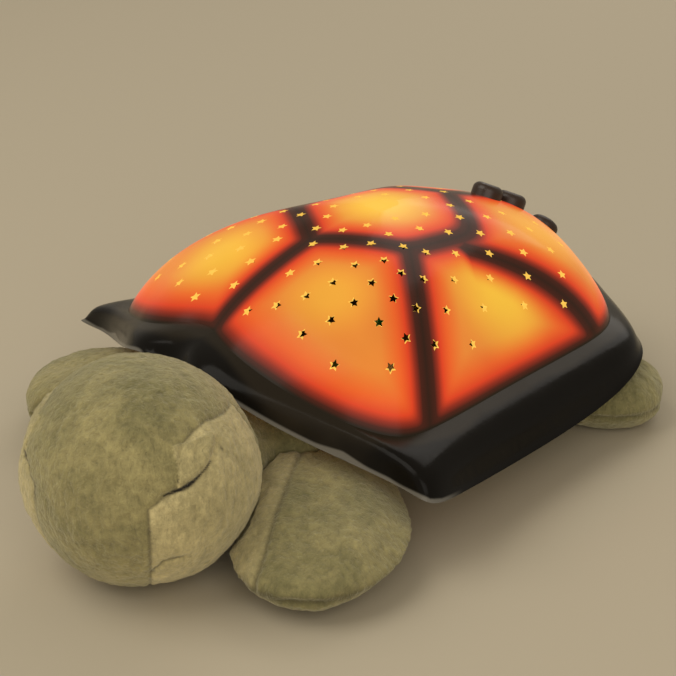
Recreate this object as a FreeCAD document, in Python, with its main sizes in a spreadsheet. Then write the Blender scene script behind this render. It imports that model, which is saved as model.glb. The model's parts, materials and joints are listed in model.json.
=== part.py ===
import FreeCAD, Part
import Sketcher
import math
import os

from FreeCAD import Placement, Rotation, Vector

# Plush turtle night light: a hard star-pierced shell over a stuffed body.
# Frame: +Z up, floor at z = 0, head towards -Y, tail towards +Y, the turtle's left side +X.
# All lengths are millimetres and all angles degrees.

doc = FreeCAD.newDocument("turtle_night_light")
sheet = doc.addObject("Spreadsheet::Sheet", "Size")

# Driving dimensions. A station is a named point of an outline on the left half, and the right
# half mirrors it: x is sideways, y along the body and z its height.
SIZES = {
    # Brim edge: high arch over the head, pointed front tips, low scalloped sides
    "rim_front_x": 0, "rim_front_y": -116, "rim_front_z": 61.5,
    "rim_front_corner_x": 31, "rim_front_corner_y": -117, "rim_front_corner_z": 59.5,
    "rim_shoulder_x": 64, "rim_shoulder_y": -103, "rim_shoulder_z": 47,
    "rim_tip_before_x": 102, "rim_tip_before_y": -88.5, "rim_tip_before_z": 37.5,
    "rim_tip_x": 120, "rim_tip_y": -86, "rim_tip_z": 36,
    "rim_tip_after_x": 116, "rim_tip_after_y": -63, "rim_tip_after_z": 31,
    "rim_side_x": 105, "rim_side_y": -6, "rim_side_z": 25.5,
    "rim_rear_side_x": 96, "rim_rear_side_y": 58, "rim_rear_side_z": 28,
    "rim_rear_corner_x": 82, "rim_rear_corner_y": 92, "rim_rear_corner_z": 35,
    "rim_rear_scallop_x": 38, "rim_rear_scallop_y": 124, "rim_rear_scallop_z": 30,
    "rim_rear_x": 0, "rim_rear_y": 142, "rim_rear_z": 30,

    # Dome foot: where the glowing dome ends and the brim begins
    "foot_front_x": 0, "foot_front_y": -98, "foot_front_z": 73,
    "foot_front_corner_x": 34, "foot_front_corner_y": -102, "foot_front_corner_z": 67,
    "foot_shoulder_x": 62, "foot_shoulder_y": -95, "foot_shoulder_z": 58.5,
    "foot_tip_before_x": 80, "foot_tip_before_y": -86, "foot_tip_before_z": 53,
    "foot_tip_x": 91, "foot_tip_y": -75, "foot_tip_z": 50,
    "foot_tip_after_x": 93, "foot_tip_after_y": -57, "foot_tip_after_z": 49,
    "foot_side_x": 85, "foot_side_y": -6, "foot_side_z": 47,
    "foot_rear_side_x": 78, "foot_rear_side_y": 48, "foot_rear_side_z": 46,
    "foot_rear_corner_x": 68, "foot_rear_corner_y": 84, "foot_rear_corner_z": 46,
    "foot_rear_scallop_x": 36, "foot_rear_scallop_y": 111, "foot_rear_scallop_z": 46,
    "foot_rear_x": 0, "foot_rear_y": 126, "foot_rear_z": 46,

    "shell_top": 106.5,  # height of the dome's crown
    "shell_wall": 2.2,  # wall of the shell
    "dome_fullness": 0.95,  # roundness of the dome, 0 a cone and 1 a half ellipse
    "crown_flat": 0.07,  # smallest ring of the dome as a share of its foot

    "star_count": 132,  # places for star holes on the dome
    "star_radius": 2.3,  # star hole, centre to point
    "star_waist": 0.5,  # star hole, inner corners' radius as a share of the points'
    "star_top": 0.1,  # ring share where the stars start
    "star_foot": 0.9,  # ring share where the stars end
    "star_crowding": 0.62,  # spread of the stars: 0.5 is even, and more crowds them at the crown
    "star_room": 1.6,  # least plastic between a star hole and a post, boss or seam
    "light_height": 53,  # height of the lamps, which the star holes face

    "post_radius": 4,  # screw post under the dome
    "post_pilot": 1.4,  # pilot hole in a post
    "post_pilot_depth": 9,  # depth of the pilot hole
    "post_front_x": 56,  # front screw posts, sideways
    "post_front_y": -66,  # front screw posts, along
    "post_side_x": 66,  # side screw posts, sideways
    "post_side_y": 6,  # side screw posts, along
    "post_rear_x": 58,  # rear screw posts, sideways
    "post_rear_y": 82,  # rear screw posts, along

    "button_radius": 7.5,  # button cap
    "button_clearance": 0.25,  # gap round a button cap
    "button_rise": 5.2,  # button cap above the dome
    "button_round": 3.4,  # rounding of the cap's edge
    "button_travel": 1,  # travel of a button
    "button_flange": 8.6,  # radius of the flange that keeps a button in
    "flange_depth": 3,  # top of the flange under the dome's surface
    "flange_thickness": 1.4,  # flange of a button
    "rest_gap": 0.3,  # gap of a piece at rest from its seat
    "button_pitch": 19,  # spacing of the two upper buttons
    "upper_buttons_y": 78,  # middle of the two upper buttons, along
    "upper_tilt": 26,  # tilt of the upper buttons
    "lower_button_y": 111.5,  # lower button, along
    "lower_tilt": 46,  # tilt of the lower button
    "boss_radius": 10.4,  # boss round a button bore
    "boss_depth": 9,  # boss below the dome's surface
    "stem_radius": 2.2,  # stem under a button
    "stem_depth": 7,  # end of the stem under the dome's surface
    "plunger_radius": 1.7,  # plunger of a switch
    "plunger_length": 2.2,  # plunger of a switch
    "plunger_clearance": 0.15,  # gap round a plunger
    "switch_side": 6,  # switch housing, square
    "switch_top": 8.8,  # switch housing's top under the dome's surface
    "switch_tall": 3.5,  # switch housing, height
    "board_thickness": 1.6,  # every circuit board
    "button_board_width": 34,  # button boards, sideways
    "button_board_margin": 17,  # button boards, beyond the pitch of their buttons
    "board_post_x": 13.5,  # posts of the button boards, sideways
    "board_post_radius": 2.8,  # posts of the button boards

    "deck_height": 40,  # underside of the tray's deck
    "deck_thickness": 2.4,  # deck of the tray
    "deck_half_width": 75,  # deck, sideways
    "deck_front": 84,  # deck, from the centre to the front edge
    "deck_rear": 96,  # deck, from the centre to the rear edge
    "deck_corner": 32,  # rounded corners of the deck
    "pan_half_width": 50,  # pan's floor, sideways
    "pan_front": 50,  # pan's floor, from the centre to the front
    "pan_rear": 74,  # pan's floor, from the centre to the rear
    "pan_corner": 14,  # rounded corners of the pan
    "pan_draft": 10,  # draft of the pan's walls
    "pan_floor": 18,  # underside of the pan's floor
    "tray_wall": 2.2,  # walls and floor of the tray
    "cup_radius": 5.2,  # screw cup on the deck
    "cup_tall": 3.6,  # screw cup above the deck
    "screw_radius": 1.2,  # shank of a tray screw
    "screw_hole": 1.7,  # clearance hole of a tray screw
    "screw_head": 2.9,  # head radius of a tray screw
    "screw_head_tall": 1.9,  # head of a tray screw
    "screw_sink": 3.3,  # sink for the head in a cup, radius
    "screw_length": 9,  # shank under the head

    "cell_radius": 5.25,  # battery cell
    "cell_length": 44.5,  # battery cell with its nub
    "cell_pitch": 11.3,  # spacing of the cells
    "nub_radius": 1.9,  # positive nub of a cell
    "nub_length": 1,  # positive nub of a cell
    "box_y": 34,  # middle of the battery compartment, along
    "box_half_width": 19,  # battery compartment, sideways
    "box_half_length": 26,  # battery compartment, along
    "box_screw_bay": 8,  # bay behind the compartment for the door's screw
    "door_underside": 2.6,  # door's face above the floor
    "door_thickness": 2,  # battery door
    "door_clearance": 0.3,  # gap round the door
    "door_front_clearance": 0.8,  # gap in front of the door, which lets it turn past the tray's wall
    "door_ridge": 0.8,  # grip ridges on the door, height
    "tab_length": 1.8,  # tab that hooks the door
    "tab_width": 8,  # tab that hooks the door
    "tab_x": 10,  # tabs, sideways
    "door_screw_radius": 1.3,  # shank of the door's screw
    "door_screw_bore": 2.2,  # bore in the tray for the door's screw
    "door_screw_head": 2.6,  # head radius of the door's screw
    "door_screw_reach": 5,  # door's screw above the door
    "door_screw_head_tall": 1.4,  # head of the door's screw
    "ridge_pitch": 3.2,  # spacing of the grip ridges
    "ridge_width": 1.4,  # width of a grip ridge
    "ridge_half_length": 8,  # grip ridges, sideways
    "contact_sheet": 0.4,  # sheet of a battery contact
    "contact_width": 7,  # width of a battery contact
    "contact_gap": 0.3,  # gap between a contact and its cell

    "board_half_width": 32,  # main board, sideways
    "board_half_length": 24,  # main board, along
    "standoff_tall": 4,  # standoffs under the main board
    "standoff_radius": 3,  # standoffs under the main board
    "standoff_inset": 4,  # standoffs from the board's edges
    "small_screw": 0.85,  # shank of a board screw
    "small_pilot": 1.05,  # pilot hole of a board screw
    "small_pilot_depth": 3.8,  # pilot hole of a board screw
    "small_hole": 1.2,  # clearance hole of a board screw
    "small_head": 2,  # head radius of a board screw
    "small_head_tall": 1.2,  # head of a board screw
    "small_length": 5,  # shank under the head of a board screw
    "chip_x": 21,  # middle of the control chip, sideways
    "chip_half_width": 4,  # control chip, sideways
    "chip_half_length": 5,  # control chip, along
    "chip_tall": 1.6,  # control chip, height
    "tower_radius": 9,  # lamp tower
    "tower_wall": 1.6,  # wall of the lamp tower
    "tower_foot": 13,  # flange of the lamp tower
    "lamp_board_radius": 14,  # round lamp board
    "lamp_board_height": 46,  # underside of the lamp board
    "lamp_radius": 2.5,  # lamp
    "lamp_tall": 7.6,  # lamp above its board
    "lamp_ring": 5.4,  # lamps from the centre

    "plush_gap": 0.3,  # gap between a soft form and its neighbours
    "plush_press": 0.5,  # depth of the flat where a soft form meets the floor
    "body_half_width": 78,  # stuffed body at its widest
    "body_front": 98,  # stuffed body, from the centre to the front
    "body_rear": 112,  # stuffed body, from the centre to the rear
    "collar_y": -88,  # middle of the collar, along
    "collar_height": 32,  # middle of the collar, height
    "collar_half_tall": 19,  # collar, half its height
    "collar_half_width": 58,  # collar, sideways
    "collar_half_length": 20,  # collar, along
    "neck_half_width": 30,  # neck, sideways
    "neck_half_tall": 18,  # neck, half its height
    "neck_root_height": 24,  # neck's root above the floor
    "head_x": 33,  # middle of the head, sideways
    "head_y": -161.5,  # middle of the head, along
    "head_half_width": 49,  # head, sideways
    "head_half_length": 46.5,  # head, along
    "head_tall": 88,  # head, height
    "flipper_root_x": 38,  # front flipper's root, sideways
    "flipper_root_y": -72,  # front flipper's root, along
    "flipper_root_z": 24,  # front flipper's root, height
    "flipper_tip_x": 107,  # left flipper's tip, sideways
    "flipper_tip_y": -141,  # left flipper's tip, along
    "flipper_tip_z": 13,  # left flipper's tip, height
    "right_flipper_tip_x": 106,  # right flipper's tip, sideways
    "right_flipper_tip_y": -126,  # right flipper's tip, along
    "right_flipper_tip_z": 15,  # right flipper's tip, height
    "flipper_half_width": 35,  # front flipper at its widest
    "flipper_half_tall": 14,  # front flipper at its thickest
    "foot_root_x": 42,  # hind foot's root, sideways
    "foot_root_y": 58,  # hind foot's root, along
    "foot_root_height": 17,  # hind foot's root, height
    "foot_end_x": 93,  # hind foot's tip, sideways
    "foot_end_y": 95,  # hind foot's tip, along
    "foot_end_height": 12.5,  # hind foot's tip, height
    "foot_half_width": 29,  # hind foot at its widest
    "foot_half_tall": 15,  # hind foot at its thickest
    "tail_root_y": 100,  # tail's root, along
    "tail_end_y": 152,  # tail's tip, along
    "tail_height": 16,  # tail above the floor
    "tail_half_width": 14,  # tail at its root
}

for row, (alias, value) in enumerate(SIZES.items(), 1):
    sheet.set(f"A{row}", alias.replace("_", " "))
    sheet.set(f"B{row}", str(value))
    sheet.setAlias(f"B{row}", alias)

# Stations go from the front centre round the left side to the rear centre.
STATIONS = [
    "front", "front_corner", "shoulder", "tip_before", "tip", "tip_after",
    "side", "rear_side", "rear_corner", "rear_scallop", "rear",
]

doc.recompute()


def val(expression):
    """The number that an expression over the sheet gives."""
    result = sheet.evalExpression(expression)
    return float(getattr(result, "Value", result))


def get(alias):
    return float(sheet.get(alias))


def finish(obj, label):
    obj.Label = label
    parts.append(obj)
    return obj


parts = []


# Helpers for bodies with sketches

def new_body(name):
    body = doc.addObject("PartDesign::Body", name)
    return finish(body, name)


def new_sketch(body, name, role="XY_Plane", height="0"):
    """A sketch on one of the body's own origin planes, raised along its normal."""
    sketch = body.newObject("Sketcher::SketchObject", name)
    plane = [f for f in body.Origin.OriginFeatures if f.Role == role][0]
    sketch.AttachmentSupport = (plane, [""])
    sketch.MapMode = "FlatFace"
    sketch.setExpression("AttachmentOffset.Base.z", height)
    return sketch


def tie(sketch, kind, *where, expression):
    """A dimension of a sketch bound to an expression over the sheet."""
    number = sketch.addConstraint(Sketcher.Constraint(kind, *where, val(expression)))
    sketch.setExpression(f"Constraints[{number}]", expression)


def polygon(sketch, corners):
    """Closed outline through corners, each a pair of expressions."""
    points = [Vector(val(x), val(y), 0) for x, y in corners]
    lines = []
    for number, point in enumerate(points):
        after = points[(number + 1) % len(points)]
        lines.append(sketch.addGeometry(Part.LineSegment(point, after)))
    for number, line in enumerate(lines):
        after = lines[(number + 1) % len(lines)]
        sketch.addConstraint(Sketcher.Constraint("Coincident", line, 2, after, 1))
    for line, (x, y) in zip(lines, corners):
        tie(sketch, "DistanceX", -1, 1, line, 1, expression=x)
        tie(sketch, "DistanceY", -1, 1, line, 1, expression=y)


def circle(sketch, x, y, radius):
    centre = Vector(val(x), val(y), 0)
    number = sketch.addGeometry(Part.Circle(centre, Vector(0, 0, 1), val(radius)))
    tie(sketch, "DistanceX", -1, 1, number, 3, expression=x)
    tie(sketch, "DistanceY", -1, 1, number, 3, expression=y)
    tie(sketch, "Radius", number, expression=radius)


def rectangle(sketch, low_x, low_y, high_x, high_y):
    polygon(sketch, [(low_x, low_y), (high_x, low_y), (high_x, high_y), (low_x, high_y)])


def pad(body, sketch, length, draft=None):
    feature = body.newObject("PartDesign::Pad", sketch.Name + "_pad")
    feature.Profile = sketch
    feature.Length = val(length)
    feature.setExpression("Length", length)
    if draft:
        feature.setExpression("TaperAngle", draft)
    sketch.Visibility = False
    doc.recompute()
    return feature


def pocket(body, sketch, length, upwards=True):
    """A pocket that runs up from its sketch, or down where upwards is false."""
    feature = body.newObject("PartDesign::Pocket", sketch.Name + "_pocket")
    feature.Profile = sketch
    feature.Length = val(length)
    feature.setExpression("Length", length)
    feature.Reversed = upwards
    before = body.Shape.Volume
    doc.recompute()
    if body.Shape.Volume >= before - 1e-6:
        raise RuntimeError(sketch.Name + " cuts nothing")
    return feature


def revolution(body, sketch):
    feature = body.newObject("PartDesign::Revolution", sketch.Name + "_turn")
    feature.Profile = sketch
    feature.ReferenceAxis = (sketch, ["V_Axis"])
    feature.Angle = 360
    doc.recompute()
    return feature


def round_edges(body, base, chosen, radius):
    """Fillet the edges of the base feature that the test picks."""
    names = [f"Edge{n}" for n, edge in enumerate(base.Shape.Edges, 1) if chosen(edge)]
    if not names:
        raise RuntimeError("no edge to round on " + body.Name)
    feature = body.newObject("PartDesign::Fillet", base.Name + "_round")
    feature.Base = (base, names)
    feature.Radius = val(radius)
    feature.setExpression("Radius", radius)
    doc.recompute()
    return feature


def upright(edge):
    ends = [vertex.Point for vertex in edge.Vertexes]
    if len(ends) != 2:
        return False
    run = (ends[1] - ends[0]).normalize()
    return abs(run.z) > 0.9


def turned(name, outline):
    """A body turned about its own Z axis from (radius, height) corners."""
    body = new_body(name)
    sketch = new_sketch(body, name + "_outline", "XZ_Plane")
    polygon(sketch, outline)
    revolution(body, sketch)
    return body


# Shell: rings through the stations, lofted into an outer and an inner skin

def drop(share):
    """How far the dome has fallen at a share of its foot ring, from 0 to 1."""
    fullness = get("dome_fullness")
    fall = 1 - math.sqrt(1 - (fullness * share) ** 2)
    return fall / (1 - math.sqrt(1 - fullness ** 2))


def drawn_in(point, inset, lower):
    """The point moved towards the shell's axis by inset, and down by lower."""
    reach = math.hypot(point.x, point.y)
    share = (reach - inset) / reach
    return Vector(point.x * share, point.y * share, point.z - lower)


def stations_of(outline, inset):
    points = []
    for name in STATIONS:
        where = [get(f"{outline}_{name}_{letter}") for letter in "xyz"]
        points.append(drawn_in(Vector(*where), inset, 0.5 * inset))
    return points


def mirrored_round(half):
    return half + [Vector(-p.x, p.y, p.z) for p in half[-2:0:-1]]


def ring_parameters():
    """Where along a ring each station lies, the same for every ring."""
    points = mirrored_round(stations_of("foot", 0))
    steps = [math.sqrt((b - a).Length) for a, b in zip(points, points[1:] + points[:1])]
    return [sum(steps[:n]) / sum(steps) for n in range(len(steps) + 1)]


def closed_ring(half):
    """Closed smooth ring through a half outline and its mirror image."""
    curve = Part.BSplineCurve()
    curve.interpolate(
        Points=mirrored_round(half), PeriodicFlag=True, Parameters=ring_parameters()
    )
    return curve


def dome_half(share, inset):
    """Stations of the dome ring at a share of the foot ring."""
    top = get("shell_top") - inset
    foot = stations_of("foot", inset)
    mean = sum(p.z for p in foot) / len(foot)
    flat = get("crown_flat")
    weight = (share - flat) / (1 - flat)
    ring = []
    for point in foot:
        low = mean + (point.z - mean) * weight
        ring.append(Vector(point.x * share, point.y * share, top - (top - low) * drop(share)))
    return ring


# Brim section: shares of the way out and of the way down at each ring
BRIM_RINGS = [(0, 0), (0.3, 0.1), (0.6, 0.28), (0.8, 0.58), (0.9, 0.84), (1, 1)]
DOME_RINGS = [1, 0.93, 0.84, 0.72, 0.58, 0.44, 0.3, 0.17]


def brim_half(out, down, inset):
    ring = []
    for foot, rim in zip(stations_of("foot", inset), stations_of("rim", inset)):
        ring.append(Vector(
            foot.x + (rim.x - foot.x) * out,
            foot.y + (rim.y - foot.y) * out,
            foot.z + (rim.z - foot.z) * down,
        ))
    return ring


def wire(curve):
    return Part.Wire([curve.toShape()])


def skin(inset):
    """Faces of one skin of the shell, its crown cap and its lowest ring."""
    dome = [wire(closed_ring(dome_half(share, inset))) for share in DOME_RINGS]
    crown = wire(closed_ring(dome_half(get("crown_flat"), inset)))
    brim = [wire(closed_ring(brim_half(out, down, inset))) for out, down in BRIM_RINGS]
    faces = Part.makeLoft(dome + [crown], False, False).Faces
    faces += Part.makeLoft(brim, False, False).Faces
    faces.append(Part.Face(crown))
    return faces, brim[-1]


def sewn(faces):
    shell = Part.Shell(faces)
    shell.sewShape()
    solid = Part.Solid(shell)
    if solid.Volume < 0:
        solid.reverse()
    return solid


def shell_wall():
    outer, outer_rim = skin(0)
    inner, inner_rim = skin(get("shell_wall"))
    lip = Part.makeLoft([outer_rim, inner_rim], False, True).Faces
    return sewn(outer + inner + lip)


def filled_under(inset):
    """The space under one skin, closed below the brim by a flat floor."""
    faces, rim = skin(inset)
    floor = [Vector(p.x, p.y, 0) for p in stations_of("rim", inset)]
    floor_wire = wire(closed_ring(floor))
    faces += Part.makeLoft([rim, floor_wire], False, True).Faces
    faces.append(Part.Face(floor_wire))
    return sewn(faces)


POSTS = ["front", "side", "rear"]


def post_places():
    places = []
    for name in POSTS:
        x = get(f"post_{name}_x")
        y = get(f"post_{name}_y")
        places += [Vector(x, y, 0), Vector(-x, y, 0)]
    return places


def dome_point_at_rear(y):
    """Surface point of the dome on the rear centre line, at a given y."""
    share = y / get("foot_rear_y")
    rear = dome_half(share, 0)[-1]
    return Vector(0, y, rear.z)


def button_frames():
    """Placement of each button: origin on the dome, Z outwards."""
    pitch = get("button_pitch")
    upper = Rotation(Vector(-1, 0, 0), get("upper_tilt"))
    lower = Rotation(Vector(-1, 0, 0), get("lower_tilt"))
    middle = dome_point_at_rear(get("upper_buttons_y"))
    along = upper.multVec(Vector(0, 1, 0))
    return [
        Placement(middle - along * (pitch / 2), upper),
        Placement(middle + along * (pitch / 2), upper),
        Placement(dome_point_at_rear(get("lower_button_y")), lower),
    ]


def button_board_frames():
    """Name and placement of each button board, and the pitch of its buttons."""
    first, second, third = button_frames()
    middle = Placement((first.Base + second.Base) * 0.5, first.Rotation)
    return [("upper", middle, "Size.button_pitch"), ("lower", third, "0")]


def boss_cylinder(frame, radius, low, high):
    """A cylinder on a button's axis between two depths under the dome."""
    cylinder = Part.makeCylinder(radius, low - high, Vector(0, 0, -low))
    cylinder.Placement = frame
    return cylinder


def shell_solid():
    wall = shell_wall()
    inside = filled_under(0.5 * get("shell_wall"))
    post_foot = get("deck_height") + get("deck_thickness") + get("cup_tall")
    reach = get("shell_top") - post_foot
    added = []
    cuts = []
    for place in post_places():
        base = Vector(place.x, place.y, post_foot)
        added.append(Part.makeCylinder(get("post_radius"), reach, base))
        below = base - Vector(0, 0, 1)
        cuts.append(Part.makeCylinder(get("post_pilot"), get("post_pilot_depth") + 1, below))
    bore = get("button_radius") + get("button_clearance")
    recess = get("button_flange") + get("button_clearance")
    shoulder = get("flange_depth") - get("rest_gap")
    for frame in button_frames():
        added.append(boss_cylinder(frame, get("boss_radius"), get("boss_depth"), -6))
        cuts.append(boss_cylinder(frame, bore, get("boss_depth") + 1, -8))
        cuts.append(boss_cylinder(frame, recess, get("boss_depth") + 1, shoulder))
    board_top = get("switch_top") + get("switch_tall")
    for _, frame, _ in button_board_frames():
        for side in (-1, 1):
            shifted = frame.multiply(Placement(Vector(side * get("board_post_x"), 0, 0), Rotation()))
            added.append(boss_cylinder(shifted, get("board_post_radius"), board_top, -2))
            cuts.append(boss_cylinder(
                shifted, get("small_pilot"), board_top + 1, board_top - get("small_pilot_depth")
            ))
    kept = added[0].fuse(added[1:]).common(inside)
    whole = wall.fuse(kept).cut(cuts[0].fuse(cuts[1:]))
    return whole.Solids[0]


# Star holes: straight-sided, each cut along the ray of light that leaves through it

GOLDEN_TURN = (math.sqrt(5) - 1) / 2


def star_middles():
    """Places of the stars on the dome, clear of its seam, posts and bosses."""
    count = int(get("star_count"))
    room = get("star_radius") + get("star_room")
    bosses = [(frame.Base, get("boss_radius")) for frame in button_frames()]
    for _, frame, _ in button_board_frames():
        for side in (-1, 1):
            foot = frame.multVec(Vector(side * get("board_post_x"), 0, 0))
            bosses.append((foot, get("board_post_radius")))
    middles = []
    for number in range(count):
        spread = ((number + 0.5) / count) ** get("star_crowding")
        share = get("star_top") + (get("star_foot") - get("star_top")) * spread
        point = closed_ring(dome_half(share, 0)).value(number * GOLDEN_TURN % 1)
        by_seam = abs(point.x) < room and point.y < 0
        by_boss = any((point - base).Length < radius + room for base, radius in bosses)
        by_post = any(
            math.hypot(point.x - post.x, point.y - post.y) < get("post_radius") + room
            for post in post_places()
        )
        if not (by_seam or by_boss or by_post):
            middles.append(point)
    return middles


def crossing(surface, start, way):
    """Where the line through start along way meets a surface near start."""
    u, v = surface.parameter(start)
    reach = 0
    for _ in range(6):
        miss = start + way * reach - surface.value(u, v)
        along_u = surface.getDN(u, v, 1, 0)
        along_v = surface.getDN(u, v, 0, 1)
        back = way * -1
        volume = along_u.dot(along_v.cross(back))
        u += miss.dot(along_v.cross(back)) / volume
        v += along_u.dot(miss.cross(back)) / volume
        reach += along_u.dot(along_v.cross(miss)) / volume
    return surface.value(u, v)


def star_outlines(outer, inner):
    """Pairs of star outlines, ten corners each, on the outer and the inner surface."""
    light = Vector(0, 0, get("light_height"))
    pairs = []
    for number, middle in enumerate(star_middles()):
        way = (middle - light).normalize()
        across = way.cross(Vector(0, 0, 1)).normalize()
        upward = across.cross(way)
        above = []
        for corner in range(10):
            radius = get("star_radius") * (get("star_waist") if corner % 2 else 1)
            turn = math.pi * (corner / 5 + 2 * number * GOLDEN_TURN)
            spoke = across * (radius * math.cos(turn)) + upward * (radius * math.sin(turn))
            above.append(crossing(outer, middle + spoke, way))
        below = [crossing(inner, point - way * get("shell_wall"), way) for point in above]
        pairs.append((above, below))
    return pairs


def ring_of(corners):
    return Part.makePolygon(corners + corners[:1])


def pierced(face, outlines):
    """The face with a straight-edged hole along each outline."""
    cut = face.copy()
    cut.cutHoles([ring_of(corners) for corners in outlines])
    cut.validate()
    tolerance = 0.005
    cut.fix(tolerance, tolerance, tolerance)
    return cut


def starred(solid):
    """The shell with its star holes, which go through the two largest faces."""
    faces = sorted(solid.Faces, key=lambda face: face.Area)
    inner, outer = faces[-2:]
    pairs = star_outlines(outer.Surface, inner.Surface)
    walls = []
    for above, below in pairs:
        for number in range(10):
            after = (number + 1) % 10
            walls.append(Part.Face(ring_of([above[number], above[after], below[after], below[number]])))
    skins = [pierced(outer, [above for above, _ in pairs]), pierced(inner, [below for _, below in pairs])]
    return sewn(faces[:-2] + skins + walls)


shell = doc.addObject("Part::Feature", "shell")
shell.Shape = starred(shell_solid())
finish(shell, "shell")

S = "Size."


# Tray: deck with screw cups, a drafted pan and the battery compartment under it

tray = new_body("base_tray")
deck = new_sketch(tray, "deck_outline", height=S + "deck_height")
rectangle(deck, f"-{S}deck_half_width", f"-{S}deck_front", S + "deck_half_width", S + "deck_rear")
deck_pad = pad(tray, deck, S + "deck_thickness")
round_edges(tray, deck_pad, upright, S + "deck_corner")

pan = new_sketch(tray, "pan_outline", height=S + "pan_floor")
rectangle(pan, f"-{S}pan_half_width", f"-{S}pan_front", S + "pan_half_width", S + "pan_rear")
pan_pad = pad(tray, pan, f"{S}deck_height + {S}deck_thickness - {S}pan_floor", S + "pan_draft")


def sloping(edge):
    ends = [vertex.Point for vertex in edge.Vertexes]
    if len(ends) != 2:
        return False
    run = ends[1] - ends[0]
    return run.Length > 20 and 0.8 < abs(run.z) / run.Length < 0.999


round_edges(tray, pan_pad, sloping, S + "pan_corner")

well = new_sketch(tray, "well_outline", height=f"{S}pan_floor + {S}tray_wall")
draw = f"({S}tray_wall - {S}tray_wall * tan({S}pan_draft * 1deg))"
inner_x = f"({S}pan_half_width - {draw})"
rectangle(well, "-" + inner_x, f"{draw} - {S}pan_front", inner_x, f"{S}pan_rear - {draw}")
well_pocket = pocket(tray, well, f"{S}deck_height + {S}deck_thickness - {S}pan_floor")
well_pocket.setExpression("TaperAngle", S + "pan_draft")
doc.recompute()

box = new_sketch(tray, "box_outline", height=S + "door_underside")
box_x = f"({S}box_half_width + {S}tray_wall)"
cells_front = f"({S}box_y - {S}box_half_length)"
cells_rear = f"({S}box_y + {S}box_half_length)"
bay_rear = f"({S}box_y + {S}box_half_length + {S}box_screw_bay)"
rectangle(
    box, "-" + box_x, f"{cells_front} - {S}tray_wall", box_x, f"{bay_rear} + {S}tray_wall"
)
pad(tray, box, f"{S}pan_floor - {S}door_underside")

cells_room = new_sketch(tray, "cells_room", height=S + "door_underside")
rectangle(cells_room, f"-{S}box_half_width", cells_front, S + "box_half_width", cells_rear)
pocket(tray, cells_room, f"{S}pan_floor - {S}door_underside")

door_room = new_sketch(tray, "door_room", height=S + "door_underside")
rectangle(door_room, f"-{S}box_half_width", f"{cells_rear} - 1", S + "box_half_width", bay_rear)
pocket(tray, door_room, f"{S}door_thickness + {S}door_clearance")

tab_slots = new_sketch(tray, "tab_slots", height=f"{S}door_underside - {S}door_clearance")
for side in ("-", ""):
    middle = f"{side}{S}tab_x"
    half = f"({S}tab_width / 2 + {S}door_clearance)"
    rectangle(
        tab_slots, f"{middle} - {half}", f"{cells_front} - {S}tray_wall - 1",
        f"{middle} + {half}", f"{cells_front} + 1",
    )
pocket(tray, tab_slots, f"{S}door_thickness + {S}tab_length + 2 * {S}door_clearance")

bore = new_sketch(tray, "door_screw_bore", height=S + "door_underside")
door_screw_y = f"({cells_rear} + {S}box_screw_bay / 2)"
circle(bore, "0", door_screw_y, S + "door_screw_bore")
pocket(tray, bore, f"{S}door_thickness + {S}door_screw_reach + 2")

cups = new_sketch(tray, "screw_cups", height=f"{S}deck_height + {S}deck_thickness")
sinks = new_sketch(tray, "screw_sinks", height=S + "deck_height")
holes = new_sketch(tray, "screw_holes", height=S + "deck_height")
for name in POSTS:
    for side in ("-", ""):
        x = f"{side}{S}post_{name}_x"
        y = f"{S}post_{name}_y"
        circle(cups, x, y, S + "cup_radius")
        circle(sinks, x, y, S + "screw_sink")
        circle(holes, x, y, S + "screw_hole")
pad(tray, cups, S + "cup_tall")
sink_depth = f"({S}deck_thickness + {S}cup_tall - {S}screw_head_tall)"
pocket(tray, sinks, sink_depth)
pocket(tray, holes, f"{S}deck_thickness + {S}cup_tall")

standoffs = new_sketch(tray, "standoffs", height=f"{S}pan_floor + {S}tray_wall")
pilot_foot = f"{S}pan_floor + {S}tray_wall + {S}standoff_tall - {S}small_pilot_depth"
pilots = new_sketch(tray, "standoff_pilots", height=pilot_foot)
board_corner_x = f"({S}board_half_width - {S}standoff_inset)"
board_corner_y = f"({S}board_half_length - {S}standoff_inset)"
for side in ("-", ""):
    for end in ("-", ""):
        circle(standoffs, side + board_corner_x, end + board_corner_y, S + "standoff_radius")
        circle(pilots, side + board_corner_x, end + board_corner_y, S + "small_pilot")
pad(tray, standoffs, S + "standoff_tall")
pocket(tray, pilots, S + "small_pilot_depth")


# Battery door that turns on the round beads of its tabs, with grip ridges and a screw hole

door = new_body("battery_door")
plate = new_sketch(door, "door_plate", height=S + "door_underside")
rectangle(
    plate, f"-{S}box_half_width + {S}door_clearance", f"{cells_front} + {S}door_front_clearance",
    f"{S}box_half_width - {S}door_clearance", f"{bay_rear} - {S}door_clearance",
)
pad(door, plate, S + "door_thickness")
hinge_y = f"({cells_front} - {S}tab_length + {S}door_thickness / 2)"
tabs = new_sketch(door, "door_tabs", height=S + "door_underside")
for side in ("-", ""):
    middle = f"{side}{S}tab_x"
    rectangle(
        tabs, f"{middle} - {S}tab_width / 2", hinge_y,
        f"{middle} + {S}tab_width / 2", f"{cells_front} + 1",
    )
pad(door, tabs, S + "door_thickness")
for side, label in (("-", "right"), ("", "left")):
    bead = new_sketch(
        door, "hinge_bead_" + label, "YZ_Plane", f"{side}{S}tab_x - {S}tab_width / 2"
    )
    circle(bead, hinge_y, f"{S}door_underside + {S}door_thickness / 2", S + "door_thickness / 2")
    pad(door, bead, S + "tab_width")
door_hole = new_sketch(door, "door_hole", height=S + "door_underside")
circle(door_hole, "0", door_screw_y, S + "door_screw_radius + 0.2")
pocket(door, door_hole, S + "door_thickness")
grips = new_sketch(door, "grip_ridges", height=f"{S}door_underside - {S}door_ridge")
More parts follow.
